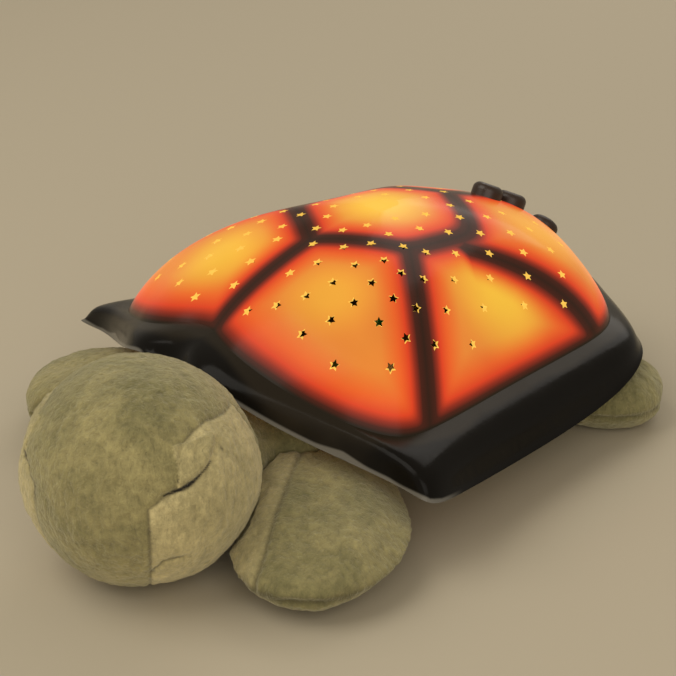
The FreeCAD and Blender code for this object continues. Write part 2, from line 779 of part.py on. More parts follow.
for number in range(4):
    low = f"({S}box_y + ({number} - 1.5) * {S}ridge_pitch - {S}ridge_width / 2)"
    rectangle(
        grips, f"-{S}ridge_half_length", low, S + "ridge_half_length", f"{low} + {S}ridge_width"
    )
pad(door, grips, f"{S}door_ridge + 0.2")


def screw(name, shank, length, head, head_tall):
    """A pan-head screw pointing up from z = 0, head below, with a cross slot."""
    body = new_body(name)
    sketch = new_sketch(body, name + "_outline", "XZ_Plane")
    polygon(sketch, [
        ("0", f"-({head_tall})"), (f"{head} - 0.5", f"-({head_tall})"),
        (head, f"-({head_tall}) + 0.5"), (head, "0"), (shank, "0"),
        (shank, f"{length} - {shank}"), (f"{shank} * 0.4", length), ("0", length),
    ])
    revolution(body, sketch)
    slot = new_sketch(body, name + "_slot", height=f"-({head_tall})")
    rectangle(slot, f"-{head} * 0.65", "-0.35", f"{head} * 0.65", "0.35")
    pocket(body, slot, f"{head_tall} * 0.55")
    slot = new_sketch(body, name + "_cross", height=f"-({head_tall})")
    rectangle(slot, "-0.35", f"-{head} * 0.65", "0.35", f"{head} * 0.65")
    pocket(body, slot, f"{head_tall} * 0.55")
    return body


def group(name, pattern, placements):
    """Like solids in one node: the pattern's shape at each placement."""
    pattern.Label = name + "_pattern"
    parts.remove(pattern)
    feature = doc.addObject("Part::Feature", name)
    feature.Shape = Part.makeCompound([
        pattern.Shape.copy().transformed(p.toMatrix(), True) for p in placements
    ])
    return finish(feature, name)


door_screw = screw(
    "door_screw", S + "door_screw_radius", f"({S}door_thickness + {S}door_screw_reach)",
    S + "door_screw_head", S + "door_screw_head_tall",
)
door_screw.setExpression("Placement.Base.y", door_screw_y)
door_screw.setExpression("Placement.Base.z", f"{S}door_underside")

tray_screw = screw(
    "tray_screw", S + "screw_radius", S + "screw_length", S + "screw_head", S + "screw_head_tall"
)
seat = get("deck_height") + get("deck_thickness") + get("cup_tall") - get("screw_head_tall")
group("tray_screws", tray_screw, [
    Placement(Vector(p.x, p.y, seat), Rotation()) for p in post_places()
])


# Battery cells and their contacts

cell_height = get("door_underside") + get("door_thickness") + get("rest_gap") + get("cell_radius")


def cell_outline():
    return [
        ("0", f"-{S}cell_length / 2"), (S + "cell_radius", f"-{S}cell_length / 2"),
        (S + "cell_radius", f"{S}cell_length / 2 - {S}nub_length"),
        (S + "nub_radius", f"{S}cell_length / 2 - {S}nub_length"),
        (S + "nub_radius", f"{S}cell_length / 2"), ("0", f"{S}cell_length / 2"),
    ]


for number in (-1, 0, 1):
    cell = turned(f"battery_{number + 2}", cell_outline())
    end = 90 if number % 2 == 0 else -90
    cell.Placement = Placement(
        Vector(number * get("cell_pitch"), get("box_y"), cell_height), Rotation(Vector(1, 0, 0), end)
    )
    cell.setExpression("Placement.Base.x", f"{number} * {S}cell_pitch")
    cell.setExpression("Placement.Base.y", S + "box_y")
    cell.setExpression(
        "Placement.Base.z", f"{S}door_underside + {S}door_thickness + {S}rest_gap + {S}cell_radius"
    )

contact = new_body("battery_contact")
leaf = new_sketch(contact, "leaf_outline", "YZ_Plane", f"-{S}contact_width / 2")
end = f"({S}box_half_length - 0.05)"
near = f"({S}cell_length / 2 + {S}contact_gap)"
sheet_metal = S + "contact_sheet"
polygon(leaf, [
    (end, "-4"), (end, "5"), (f"{end} - 2 * {sheet_metal}", "5"),
    (near, "1.6"), (near, "-1.4"), (f"{near} + {sheet_metal}", "-1.4"),
    (f"{near} + {sheet_metal}", "1.4"), (f"{end} - {sheet_metal}", "3.6"),
    (f"{end} - {sheet_metal}", "-4"),
])
pad(contact, leaf, S + "contact_width")
contact_places = []
for number in (-1, 0, 1):
    middle = Vector(number * get("cell_pitch"), get("box_y"), cell_height)
    contact_places.append(Placement(middle, Rotation()))
    contact_places.append(Placement(middle, Rotation(Vector(0, 0, 1), 180)))
group("battery_contacts", contact, contact_places)


# Main board with its chip, the lamp tower and the lamps

board = new_body("main_board")
outline = new_sketch(board, "board_outline", height=f"{S}pan_floor + {S}tray_wall + {S}standoff_tall")
rectangle(
    outline, f"-{S}board_half_width", f"-{S}board_half_length", S + "board_half_width", S + "board_half_length"
)
pad(board, outline, S + "board_thickness")
board_holes = new_sketch(board, "board_holes", height=f"{S}pan_floor + {S}tray_wall + {S}standoff_tall")
for side in ("-", ""):
    for end in ("-", ""):
        circle(board_holes, side + board_corner_x, end + board_corner_y, S + "small_hole")
pocket(board, board_holes, S + "board_thickness")

board_top = f"({S}pan_floor + {S}tray_wall + {S}standoff_tall + {S}board_thickness)"
chip = new_body("control_chip")
chip_outline = new_sketch(chip, "chip_outline", height=board_top)
rectangle(
    chip_outline, f"{S}chip_x - {S}chip_half_width", f"-{S}chip_half_length",
    f"{S}chip_x + {S}chip_half_width", S + "chip_half_length",
)
pad(chip, chip_outline, S + "chip_tall")

board_screw = screw(
    "board_screw", S + "small_screw", S + "small_length", S + "small_head", S + "small_head_tall"
)
flip = Rotation(Vector(1, 0, 0), 180)
corner_x = get("board_half_width") - get("standoff_inset")
corner_y = get("board_half_length") - get("standoff_inset")
group("board_screws", board_screw, [
    Placement(Vector(x, y, val(board_top)), flip)
    for x in (-corner_x, corner_x) for y in (-corner_y, corner_y)
])

tower = new_body("lamp_tower")
tower_outline = new_sketch(tower, "tower_outline", "XZ_Plane")
tower_inner = f"({S}tower_radius - {S}tower_wall)"
polygon(tower_outline, [
    (tower_inner, board_top), (S + "tower_foot", board_top), (S + "tower_foot", board_top + " + 2"),
    (S + "tower_radius", board_top + " + 5"), (S + "tower_radius", S + "lamp_board_height - 4"),
    (S + "tower_radius + 2", S + "lamp_board_height"), (tower_inner, S + "lamp_board_height"),
])
revolution(tower, tower_outline)

lamp_board = new_body("lamp_board")
disc = new_sketch(lamp_board, "disc_outline", height=S + "lamp_board_height")
circle(disc, "0", "0", S + "lamp_board_radius")
pad(lamp_board, disc, S + "board_thickness")

for number, colour in enumerate(["amber", "blue", "green"]):
    lamp = turned("lamp_" + colour, [
        ("0", "0"), (S + "lamp_radius + 0.4", "0"), (S + "lamp_radius + 0.4", "1"),
        (S + "lamp_radius", "1"), (S + "lamp_radius", S + "lamp_tall - 1.8"),
        (S + "lamp_radius * 0.8", S + "lamp_tall - 0.7"), (S + "lamp_radius * 0.35", S + "lamp_tall"),
        ("0", S + "lamp_tall"),
    ])
    angle = 90 + 120 * number
    lamp.setExpression("Placement.Base.x", f"{S}lamp_ring * cos({angle} deg)")
    lamp.setExpression("Placement.Base.y", f"{S}lamp_ring * sin({angle} deg)")
    lamp.setExpression("Placement.Base.z", f"{S}lamp_board_height + {S}board_thickness")


# Buttons, each with its switch, on two small boards under the dome

for number, frame in enumerate(button_frames(), 1):
    button = turned(f"button_{number}", [
        ("0", f"-{S}stem_depth"), (S + "stem_radius", f"-{S}stem_depth"),
        (S + "stem_radius", f"-{S}flange_depth - {S}flange_thickness"),
        (S + "button_flange", f"-{S}flange_depth - {S}flange_thickness"),
        (S + "button_flange", f"-{S}flange_depth"), (S + "button_radius", f"-{S}flange_depth"),
        (S + "button_radius", S + "button_rise"), ("0", S + "button_rise"),
    ])
    rise = get("button_rise")
    round_edges(
        button, button.Tip, lambda edge: abs(edge.CenterOfMass.z - rise) < 0.01, S + "button_round"
    )
    button.Placement = frame
    plunger = turned(f"plunger_{number}", [
        ("0", f"-{S}stem_depth - {S}plunger_length"),
        (S + "plunger_radius", f"-{S}stem_depth - {S}plunger_length"),
        (S + "plunger_radius", f"-{S}stem_depth"), ("0", f"-{S}stem_depth"),
    ])
    plunger.Placement = frame
    switch = new_body(f"switch_{number}")
    housing = new_sketch(switch, f"housing_{number}", height=f"-{S}switch_top - {S}switch_tall")
    half = f"{S}switch_side / 2"
    rectangle(housing, "-" + half, "-" + half, half, half)
    pad(switch, housing, S + "switch_tall")
    well = new_sketch(switch, f"plunger_well_{number}", height=f"-{S}switch_top")
    circle(well, "0", "0", f"{S}plunger_radius + {S}plunger_clearance")
    reach = f"({S}stem_depth + {S}plunger_length + {S}button_travel + {S}rest_gap - {S}switch_top)"
    pocket(switch, well, reach, upwards=False)
    switch.Placement = frame

small_places = []
for name, frame, pitch in button_board_frames():
    small = new_body(f"button_board_{name}")
    low = f"(-{S}switch_top - {S}switch_tall - {S}board_thickness)"
    half_y = f"(({pitch} + {S}button_board_margin) / 2)"
    small_outline = new_sketch(small, f"small_outline_{name}", height=low)
    rectangle(
        small_outline, f"-{S}button_board_width / 2", "-" + half_y, f"{S}button_board_width / 2", half_y
    )
    pad(small, small_outline, S + "board_thickness")
    small_holes = new_sketch(small, f"small_holes_{name}", height=low)
    for side in ("-", ""):
        circle(small_holes, f"{side}{S}board_post_x", "0", S + "small_hole")
    pocket(small, small_holes, S + "board_thickness")
    small.Placement = frame
    for side in (-1, 1):
        where = Vector(side * get("board_post_x"), 0, val(low))
        small_places.append(frame.multiply(Placement(where, Rotation())))
small_screw = screw(
    "small_screw", S + "small_screw", S + "small_length", S + "small_head", S + "small_head_tall"
)
group("button_board_screws", small_screw, small_places)


# Stuffed forms: lofts through ovals of four arcs, cut by the larger neighbours

def oval(centre, across, upward, half_width, half_tall):
    """A closed outline of four arcs, each a quarter turn, round a centre."""
    corner = 0.5 ** 0.5
    ends = [across * half_width, upward * half_tall, across * -half_width, upward * -half_tall]
    edges = []
    for number, start in enumerate(ends):
        finish_point = ends[(number + 1) % 4]
        middle = (start + finish_point) * corner
        edges.append(Part.Arc(centre + start, centre + middle, centre + finish_point).toShape())
    return Part.Wire(edges)


def stuffed(ovals):
    return Part.makeLoft(ovals, True, False)


def body_form(grow):
    """Stuffed body under the shell, from level ovals."""
    wide = get("body_half_width") + grow
    front = get("body_front") + grow
    rear = get("body_rear") + grow
    top = get("deck_height") - get("plush_gap")
    low = -get("plush_press")
    levels = [
        (0.62, 0.76, 0), (0.78, 0.87, 0.12), (0.92, 0.95, 0.35),
        (1, 1, 0.62), (0.99, 0.99, 0.82), (0.93, 0.94, 1),
    ]
    ovals = []
    for across, along, height in levels:
        z = low + height * (top - low) + (2 * height - 1) * grow
        ovals.append(oval(
            Vector(0, along * (rear - front) / 2, z), Vector(1, 0, 0), Vector(0, 1, 0),
            wide * across, along * (rear + front) / 2,
        ))
    return stuffed(ovals)


def collar_form(grow):
    """Roll of the body that fills the front arch of the brim, from level ovals."""
    middle = get("collar_height")
    half = get("collar_half_tall") + grow
    ovals = []
    for angle in (-75, -50, -20, 20, 50, 75):
        share = math.cos(math.radians(angle))
        ovals.append(oval(
            Vector(0, get("collar_y"), middle + half * math.sin(math.radians(angle))),
            Vector(1, 0, 0), Vector(0, 1, 0),
            (get("collar_half_width") + grow) * share, (get("collar_half_length") + grow) * share,
        ))
    return stuffed(ovals)


def head_form(grow):
    """Round head from level ovals, a little flattened."""
    half = (get("head_tall") + get("plush_press")) / 2
    middle = half - get("plush_press")
    ovals = []
    for angle in (-80, -66, -48, -28, -8, 12, 32, 50, 66, 80):
        share = math.cos(math.radians(angle))
        height = middle + (half + grow) * math.sin(math.radians(angle)) / math.sin(math.radians(80))
        ovals.append(oval(
            Vector(get("head_x"), get("head_y"), height), Vector(1, 0, 0), Vector(0, 1, 0),
            (get("head_half_width") + grow) * share, (get("head_half_length") + grow) * share,
        ))
    return stuffed(ovals)


def limb_form(root, tip, half_width, half_tall, swell, grow):
    """Paddle along a line: swell gives share along, width and thickness."""
    run = tip - root
    axis = Vector(run).normalize()
    across = axis.cross(Vector(0, 0, 1)).normalize()
    upward = across.cross(axis)
    ovals = []
    for along, wide, tall in swell:
        centre = root + run * along
        ovals.append(oval(
            centre, across, upward, half_width * wide + grow, half_tall * tall + grow
        ))
    return stuffed(ovals)


FLIPPER_SWELL = [
    (0, 0.62, 0.8), (0.3, 0.9, 1), (0.6, 1, 1), (0.82, 0.88, 0.85), (0.95, 0.6, 0.6), (1, 0.3, 0.3)
]
FOOT_SWELL = [
    (0, 0.75, 0.8), (0.3, 0.95, 1), (0.6, 1, 1), (0.82, 0.85, 0.85), (0.95, 0.55, 0.58), (1, 0.28, 0.3)
]
NECK_SWELL = [(0, 1, 1), (0.5, 1, 1), (1, 0.9, 1)]
TAIL_SWELL = [(0, 1, 1), (0.4, 0.9, 0.9), (0.75, 0.6, 0.6), (1, 0.2, 0.2)]


def flipper_form(side, grow):
    root = Vector(side * get("flipper_root_x"), get("flipper_root_y"), get("flipper_root_z"))
    reach = "flipper_tip_" if side > 0 else "right_flipper_tip_"
    tip = Vector(side * get(reach + "x"), get(reach + "y"), get(reach + "z"))
    return limb_form(
        root, tip, get("flipper_half_width"), get("flipper_half_tall"), FLIPPER_SWELL, grow
    )


def foot_form(side, grow):
    root = Vector(side * get("foot_root_x"), get("foot_root_y"), get("foot_root_height"))
    tip = Vector(side * get("foot_end_x"), get("foot_end_y"), get("foot_end_height"))
    return limb_form(root, tip, get("foot_half_width"), get("foot_half_tall"), FOOT_SWELL, grow)


def neck_form(grow):
    """Neck from the middle of the body into the back of the head."""
    root = Vector(0, -0.6 * get("body_front"), get("neck_root_height"))
    tip = Vector(0.8 * get("head_x"), 0.85 * get("head_y"), 0.4 * get("head_tall"))
    return limb_form(root, tip, get("neck_half_width"), get("neck_half_tall"), NECK_SWELL, grow)


def tail_form(grow):
    root = Vector(0, get("tail_root_y"), get("tail_height"))
    tip = Vector(0, get("tail_end_y"), get("tail_height"))
    return limb_form(root, tip, get("tail_half_width"), 0.8 * get("tail_half_width"), TAIL_SWELL, grow)


def above_floor(form):
    """The form cut flat where it meets the floor."""
    room = Part.makeBox(600, 600, 300, Vector(-300, -300, 0))
    return form.common(room)


def tray_room(gap):
    """Space that the tray's pan, battery box and screw heads take in the body."""
    draft = math.tan(math.radians(get("pan_draft")))
    floor = get("pan_floor") - gap
    rise = get("deck_height") + 5 - floor
    corners = []
    for height, grow in ((floor, 0), (floor + rise, rise * draft)):
        x = get("pan_half_width") + gap + grow
        front = get("pan_front") + gap + grow
        rear = get("pan_rear") + gap + grow
        corners.append(Part.makePolygon([
            Vector(-x, -front, height), Vector(x, -front, height), Vector(x, rear, height),
            Vector(-x, rear, height), Vector(-x, -front, height),
        ]))
    well_room = Part.makeLoft(corners, True, True)
    x = get("box_half_width") + get("tray_wall") + gap
    reach = get("box_half_length") + get("tray_wall") + gap
    window = Part.makeBox(
        2 * x, 2 * reach + get("box_screw_bay"), floor + 2, Vector(-x, get("box_y") - reach, -1)
    )
    deck_side = get("deck_half_width") + gap
    deck_front = get("deck_front") + gap
    over_deck = Part.makeBox(
        2 * deck_side, deck_front + get("deck_rear"), 60,
        Vector(-deck_side, -deck_front, get("deck_height") - gap),
    )
    return well_room.fuse([window, over_deck])


def soft_part(name, shape):
    feature = doc.addObject("Part::Feature", name)
    feature.Shape = shape.Solids[0] if len(shape.Solids) == 1 else shape
    return finish(feature, name)


gap = get("plush_gap")


def torso_form(grow):
    return body_form(grow).fuse([neck_form(grow), collar_form(grow)])


soft_part("plush_body", above_floor(torso_form(0)).cut(tray_room(gap)))
torso = torso_form(gap)
soft_part("plush_head", above_floor(head_form(0)).cut(torso))
for side, label in ((1, "left"), (-1, "right")):
    flipper = above_floor(flipper_form(side, 0)).cut(torso).cut(head_form(gap))
    soft_part("front_flipper_" + label, flipper)
    soft_part("hind_foot_" + label, above_floor(foot_form(side, 0)).cut(torso))
soft_part("plush_tail", above_floor(tail_form(0)).cut(torso))

doc.recompute()

# Every object in order, every part a valid closed shape, then one file each

for obj in doc.Objects:
    if {"Invalid", "Error"} & set(obj.State):
        raise RuntimeError(f"{obj.Name} is {obj.State}")
os.makedirs("parts", exist_ok=True)
for part in parts:
    shape = part.Shape
    if shape.isNull() or not shape.isValid():
        raise RuntimeError(part.Label + " is not a valid shape")
    shape.exportStep(f"parts/{part.Label}.step")
    print(part.Label, len(shape.Solids), round(shape.Volume))
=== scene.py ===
# %% [markdown]
# # A sleeping turtle night light
#
# The model is a stuffed turtle with a hard shell that glows from inside. The rigid pieces come
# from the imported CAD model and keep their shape: here they only get their finish. The stuffed
# pieces are made again here, from copies of their plain solids, because cloth needs soft edges,
# seams and a pile that a solid doesn't have.
#
# Everything is in metres, in the frame of the CAD model: +Z is up, the head looks towards -Y
# and the turtle's left side is +X.

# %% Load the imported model
import bpy
import bmesh
import json
import math
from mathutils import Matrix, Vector, noise


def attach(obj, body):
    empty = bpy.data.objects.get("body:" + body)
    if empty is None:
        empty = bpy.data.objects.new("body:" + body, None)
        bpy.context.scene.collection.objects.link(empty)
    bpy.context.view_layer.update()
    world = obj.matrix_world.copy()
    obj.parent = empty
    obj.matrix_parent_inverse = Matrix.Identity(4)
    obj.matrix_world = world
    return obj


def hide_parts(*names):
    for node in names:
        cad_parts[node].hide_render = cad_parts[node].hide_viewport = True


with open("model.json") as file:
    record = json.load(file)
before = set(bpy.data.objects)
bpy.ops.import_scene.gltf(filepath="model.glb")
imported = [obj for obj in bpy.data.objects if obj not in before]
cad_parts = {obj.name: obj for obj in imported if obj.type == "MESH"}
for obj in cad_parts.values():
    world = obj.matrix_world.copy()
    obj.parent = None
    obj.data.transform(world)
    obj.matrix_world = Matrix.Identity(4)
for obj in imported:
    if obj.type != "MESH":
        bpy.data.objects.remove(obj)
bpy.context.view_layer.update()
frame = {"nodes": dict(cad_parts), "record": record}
nodes = frame["nodes"]
scene = bpy.context.scene

# %% [markdown]
# ## Camera
#
# The camera stands where the photographer stood: a little above the turtle, in front of its
# left shoulder. A long lens from about three quarters of a metre keeps the lines calm.

# %% Camera
def camera_at(place, target, lens):
    camera = bpy.data.objects.new("camera", bpy.data.cameras.new("camera"))
    camera.data.lens = lens
    camera.data.sensor_width = 36
    camera.location = place
    camera.rotation_euler = (Vector(target) - Vector(place)).to_track_quat("-Z", "Y").to_euler()
    scene.collection.objects.link(camera)
    scene.camera = camera
    return camera


camera = camera_at((0.51195, -0.49114, 0.36032), (-0.003, -0.024, 0.0465), 88.56)
print("lens", camera.data.lens, "mm")

# %% [markdown]
# ## Helpers for node materials
#
# A material is a graph of small nodes. Two helpers keep the graphs readable as code: `put`
# makes a node and fills or links its inputs by name, and `calc` makes one step of arithmetic.

# %% Node helpers
def fill(tree, socket, value):
    """Links the value if it is another node's output, and stores it if it is plain."""
    if isinstance(value, bpy.types.NodeSocket):
        tree.links.new(value, socket)
    else:
        socket.default_value = value


def put(tree, kind, settings=None, **inputs):
    node = tree.nodes.new("ShaderNode" + kind)
    for name, value in (settings or {}).items():
        setattr(node, name, value)
    for name, value in inputs.items():
        fill(tree, node.inputs[name.replace("_", " ")], value)
    return node


def calc(tree, operation, *values):
    node = tree.nodes.new("ShaderNodeMath")
    node.operation = operation
    for number, value in enumerate(values):
        fill(tree, node.inputs[number], value)
    return node.outputs[0]


def step_between(tree, value, low, high):
    """0 below low, 1 above high, and smooth in between; high may be the smaller one."""
    node = put(tree, "MapRange", {"interpolation_type": "SMOOTHSTEP"}, Value=value)
    node.inputs["From Min"].default_value = low
    node.inputs["From Max"].default_value = high
    return node.outputs["Result"]


def blend_colours(tree, factor, first, second, kind="MIX"):
    node = put(tree, "Mix", {"data_type": "RGBA", "blend_type": kind})
    fill(tree, node.inputs[0], factor)
    fill(tree, node.inputs[6], first)
    fill(tree, node.inputs[7], second)
    return node.outputs[2]


def ramp(tree, value, stops):
    """A colour for each value, from (position, colour) stops."""
    node = put(tree, "ValToRGB", Fac=value)
    elements = node.color_ramp.elements
    while len(elements) < len(stops):
        elements.new(1)
    for element, (position, colour) in zip(elements, stops):
        element.position = position
        element.color = (*colour, 1)
    return node.outputs["Color"]


def new_group(name, inputs, outputs):
    """An empty node group; inputs and outputs are (name, socket kind, default) rows."""
    group = bpy.data.node_groups.new(name, "ShaderNodeTree")
    for direction, rows in (("INPUT", inputs), ("OUTPUT", outputs)):
        for row in rows:
            socket = group.interface.new_socket(
                row[0], in_out=direction, socket_type="NodeSocket" + row[1]
            )
            if len(row) > 2:
                socket.default_value = row[2]
    return group, group.nodes.new("NodeGroupInput"), group.nodes.new("NodeGroupOutput")


def use_group(tree, group, **inputs):
    node = tree.nodes.new("ShaderNodeGroup")
    node.node_tree = group
    for name, value in inputs.items():
        fill(tree, node.inputs[name.replace("_", " ")], value)
    return node


def new_material(name, **sockets):
    """A material with one Principled shader, whose plain sockets are set by name."""
    material = bpy.data.materials.new(name)
    material.use_nodes = True
    tree = material.node_tree
    shader = tree.nodes["Principled BSDF"]
    for label, value in sockets.items():
        shader.inputs[label.replace("_", " ")].default_value = value
    return material, tree, shader


print("node helpers ready")

# %% [markdown]
# ## Moulded surfaces
#
# Injection moulded plastic is never quite even: the tool leaves a fine grain, and handling
# leaves smears in the gloss. One group gives both, and each plastic uses it with its own
# grain size, so that a smooth shell and a textured tray come from the same few nodes.

# %% Group: moulded grain
grain_group, grain_in, grain_out = new_group(
    "moulded grain",
    [("Grain", "Float", 1500.0), ("Depth", "Float", 0.1), ("Smooth", "Float", 0.3),
     ("Rough", "Float", 0.5)],
    [("Roughness", "Float"), ("Normal", "Vector")],
)
where = put(grain_group, "TexCoord").outputs["Object"]
fine = put(grain_group, "TexNoise", Vector=where, Scale=grain_in.outputs["Grain"], Detail=2.0)
smear = put(grain_group, "TexNoise", Vector=where, Scale=38.0, Detail=4.0, Roughness=0.65)
mixed = put(grain_group, "MapRange", Value=smear.outputs["Fac"])
mixed.inputs["From Min"].default_value = 0.35
mixed.inputs["From Max"].default_value = 0.65
fill(grain_group, mixed.inputs["To Min"], grain_in.outputs["Smooth"])
fill(grain_group, mixed.inputs["To Max"], grain_in.outputs["Rough"])
bump = put(
    grain_group, "Bump", Strength=grain_in.outputs["Depth"], Distance=0.0002,
    Height=fine.outputs["Fac"],
)
fill(grain_group, grain_out.inputs["Roughness"], mixed.outputs["Result"])
fill(grain_group, grain_out.inputs["Normal"], bump.outputs["Normal"])
print("group:", grain_group.name)


# %% Moulded plastics, steel and boards
def moulded(name, colour, smooth, rough, grain=1500.0, depth=0.1, **sockets):
    material, tree, shader = new_material(name, **sockets)
    shader.inputs["Base Color"].default_value = (*colour, 1)
    surface = use_group(
        tree, grain_group, Grain=grain, Depth=depth, Smooth=smooth, Rough=rough
    )
    fill(tree, shader.inputs["Roughness"], surface.outputs["Roughness"])
    fill(tree, shader.inputs["Normal"], surface.outputs["Normal"])
    return material


finishes = {
    "tray_plastic": moulded("tray plastic", (0.03, 0.026, 0.02), 0.45, 0.6, 900.0, 0.35),
    "door_plastic": moulded("door plastic", (0.04, 0.035, 0.028), 0.4, 0.55, 900.0, 0.35),
    "button_plastic": moulded("button plastic", (0.03, 0.014, 0.007), 0.3, 0.45, 700.0, 0.15),
    "tower_plastic": moulded("tower plastic", (0.78, 0.77, 0.72), 0.4, 0.5),
    "plunger_plastic": moulded("plunger plastic", (0.6, 0.03, 0.02), 0.3, 0.4),
    "switch_plastic": moulded("switch plastic", (0.02, 0.02, 0.02), 0.4, 0.5),
    "chip_epoxy": moulded("chip resin", (0.012, 0.012, 0.013), 0.5, 0.6, 2500.0, 0.3),
    "circuit_board": moulded("circuit board", (0.01, 0.1, 0.03), 0.25, 0.4, 600.0, 0.2),
    "cell_jacket": moulded("cell jacket", (0.03, 0.07, 0.05), 0.25, 0.35, Metallic=0.3),
    "screw_steel": moulded("screw steel", (0.55, 0.54, 0.52), 0.25, 0.4, Metallic=1.0),
    "contact_metal": moulded("contact metal", (0.62, 0.6, 0.55), 0.2, 0.35, Metallic=1.0),
}
for label, colour, strength in (
    ("amber", (1, 0.5, 0.08), 6.0),
    ("blue", (0.02, 0.05, 0.2), 0.02),
    ("green", (0.02, 0.2, 0.04), 0.02),
):
    finishes["lamp_" + label] = moulded(
        label + " lamp", colour, 0.1, 0.2, Emission_Color=(*colour, 1), Emission_Strength=strength
    )
print("plain finishes:", len(finishes))

# %% [markdown]
# ## The glowing shell
#
# The real shell is one amber-brown moulding. A lamp shines through the thin cells of the dome,
# while the ribs between them and the flared brim stay nearly black. The cells lie round a
# six-sided one on the crown, and six dark bands run from its edge down to the foot.
#
# The pattern could be painted on, but nodes that measure the distance to the bands give soft
# edges at any size. The outline of the dome's foot is kept as a curve over the direction, so
# that one number tells how far out on the dome a point lies: 0 at the crown and 1 at the foot.

# %% Group: cells of the dome
FOOT_OUTLINE = [  # x, y and height of the dome's foot, from the front round the left side
    (0.0, -0.098, 0.073), (0.034, -0.102, 0.067), (0.062, -0.095, 0.0585), (0.080, -0.086, 0.053),
    (0.091, -0.075, 0.050), (0.093, -0.057, 0.049), (0.085, -0.006, 0.047), (0.078, 0.048, 0.046),
    (0.068, 0.084, 0.046), (0.036, 0.111, 0.046), (0.0, 0.126, 0.046),
]
CROWN_CELL = 0.0416  # corner of the crown's cell, from its middle
FRONT_BAND = ((0.036, -0.018), (0.093, -0.0605))
REAR_BAND = ((0.044, 0.010), (0.0755, 0.066))
DOME_MIDDLE = (0, 0, 0.02)
RIM_STEP = 4  # degrees between the points read along the brim's edge
LIP_WIDTH = 0.0022
LIP_END = 0.34  # a pale line is painted along the brim's lower edge up to this direction, in half turns from the front
CURVE_SCALE = 5.0  # a curve node holds 0 to 1, so metres are stored times this
COSINE_30 = 0.866
HOT_SPOTS = [  # place, reach and strength of each bright spot, in metres
    ((0.0, 0.0, 0.104), 0.020, 1.0), ((0.066, 0.013, 0.082), 0.026, 0.9),
    ((-0.032, -0.067, 0.090), 0.022, 0.8), ((0.036, -0.064, 0.092), 0.018, 0.45),
    ((-0.066, 0.013, 0.082), 0.026, 0.7), ((0.036, 0.066, 0.088), 0.022, 0.4),
    ((-0.036, 0.066, 0.088), 0.022, 0.4),
]


def rim_points(mesh, step):
    """(x, y, z) of the outermost points of the left half, one for each step in degrees."""
    widest = {}
    for vertex in mesh.vertices:
        if vertex.co.x >= 0:
            sector = int(math.degrees(math.atan2(vertex.co.x, -vertex.co.y)) / step)
            reach = math.hypot(vertex.co.x, vertex.co.y)
            if sector not in widest or reach > widest[sector][0]:
                widest[sector] = (reach, vertex.co.copy())
    return [tuple(point) for _, (_, point) in sorted(widest.items(), key=lambda row: row[0])]


cell_group, cell_in, cell_out = new_group(
    "dome cells", [],
    [("Dome", "Float"), ("Inside", "Float"), ("Wall", "Float"), ("Edge", "Float"),
     ("Share", "Float"), ("Hot", "Float"), ("Lip", "Float")],
)
geometry = put(cell_group, "NewGeometry")
where = put(cell_group, "TexCoord").outputs["Object"]
place = put(cell_group, "SeparateXYZ", Vector=where)
side = calc(cell_group, "ABSOLUTE", place.outputs["X"])
along = place.outputs["Y"]
direction = calc(cell_group, "ARCTAN2", side, calc(cell_group, "MULTIPLY", along, -1.0))
half_turns = calc(cell_group, "DIVIDE", direction, math.pi)


def round_the_shell(points, handle, value_of):
    """A value kept for each (x, y, z) point of an outline, read for the direction shaded."""
    outline = put(cell_group, "FloatCurve", Value=half_turns)
    curve = outline.mapping.curves[0]
    for number, (x, y, z) in enumerate(points):
        mark = (math.atan2(x, -y) / math.pi, CURVE_SCALE * value_of(x, y, z))
        if number == 0:
            curve.points[0].location = mark
        elif number == len(points) - 1:
            curve.points[len(curve.points) - 1].location = mark
        else:
            curve.points.new(*mark)
    for point in curve.points:
        point.handle_type = handle
    outline.mapping.update()
    return calc(cell_group, "DIVIDE", outline.outputs["Value"], CURVE_SCALE)


def reach_of(points, handle):
    return round_the_shell(points, handle, lambda x, y, z: math.hypot(x, y))


def height_of(points, handle):
    return round_the_shell(points, handle, lambda x, y, z: z)


radius = calc(cell_group, "SQRT", calc(
    cell_group, "ADD", calc(cell_group, "MULTIPLY", side, side),
    calc(cell_group, "MULTIPLY", along, along),
))
share = calc(cell_group, "DIVIDE", radius, reach_of(FOOT_OUTLINE, "AUTO"))
rim = rim_points(nodes["shell"].data, RIM_STEP)
to_rim = put(cell_group, "CombineXYZ")
fill(cell_group, to_rim.inputs[0], calc(cell_group, "SUBTRACT", reach_of(rim, "VECTOR"), radius))
fill(cell_group, to_rim.inputs[1], calc(
    cell_group, "SUBTRACT", place.outputs["Z"], height_of(rim, "VECTOR")
))
from_rim = put(cell_group, "VectorMath", {"operation": "LENGTH"}, Vector=to_rim.outputs[0])
lip = calc(
    cell_group, "MULTIPLY", step_between(cell_group, from_rim.outputs["Value"], LIP_WIDTH, 0.001),
    step_between(cell_group, half_turns, LIP_END, LIP_END - 0.03),
)
print("points round the left half of the rim:", len(rim))

# Distance outwards from the crown cell, whose corners point to the front and the rear
slant = calc(
    cell_group, "ADD", calc(cell_group, "MULTIPLY", side, 0.5),
    calc(cell_group, "MULTIPLY", calc(cell_group, "ABSOLUTE", along), COSINE_30),
)
crown = calc(
    cell_group, "SUBTRACT", calc(cell_group, "SMOOTH_MAX", side, slant, 0.012),
    COSINE_30 * CROWN_CELL + 0.001,
)


